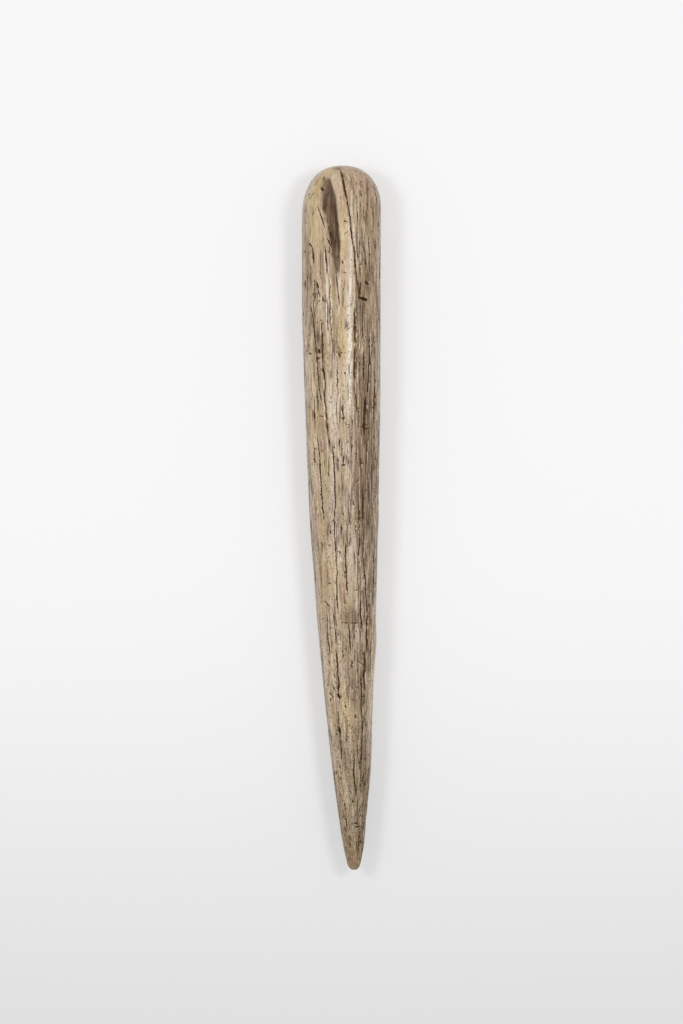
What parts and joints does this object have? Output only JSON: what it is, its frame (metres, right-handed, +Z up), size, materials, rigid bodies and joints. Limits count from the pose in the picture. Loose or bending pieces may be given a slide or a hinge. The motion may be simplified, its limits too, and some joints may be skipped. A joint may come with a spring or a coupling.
{
  "type": "bone folder",
  "caption": "Solid spike of weathered, polished bone with a round head, a natural channel and splits, tapering to a blunt tip, for folding, creasing and opening up paper or cord.",
  "frame": {"origin": "on the table, under the middle of the tool's length and of its head's width", "axes": "+Y along the tool towards its round head, +Z up out of the face with the channel, +X to the side that the tip leans to"},
  "size_m": [0.0248, 0.22, 0.0226],
  "materials": {
    "bone": "satin"
  },
  "bodies": {
    "root": {"bone_body": "bone"}
  },
  "joints": []
}
